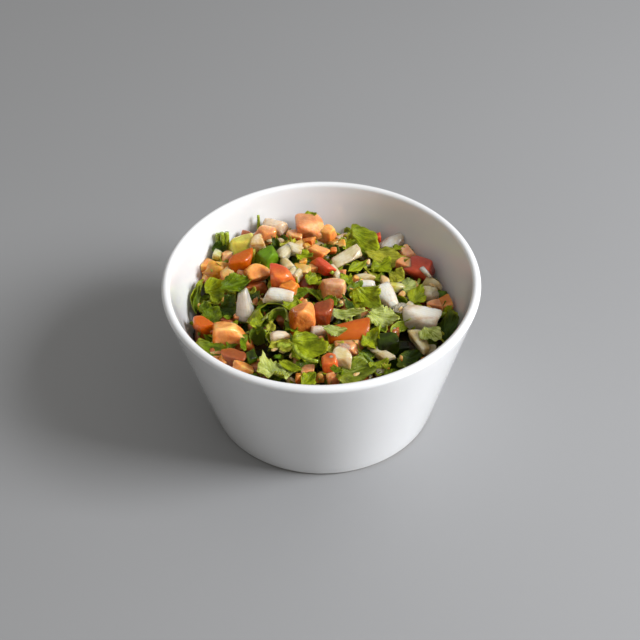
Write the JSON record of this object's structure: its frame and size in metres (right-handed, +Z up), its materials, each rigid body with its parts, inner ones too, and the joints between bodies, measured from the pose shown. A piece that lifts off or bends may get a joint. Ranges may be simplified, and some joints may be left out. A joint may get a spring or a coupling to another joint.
{
  "type": "bowl of pico de gallo",
  "caption": "Small straight-sided white porcelain bowl filled with pico de gallo: diced tomato, onion and green chilli with coriander leaves.",
  "frame": {"origin": "on the table, on the bowl's axis", "axes": "+Z up along the bowl's axis, -Y towards the side of the heap that the picture sees nearest"},
  "size_m": [0.12, 0.12, 0.062],
  "materials": {
    "porcelain": "white glazed porcelain",
    "salsa": "wet diced tomato, onion and green herbs"
  },
  "bodies": {
    "root": {"bowl": "porcelain", "pico_de_gallo": "salsa"}
  },
  "joints": []
}
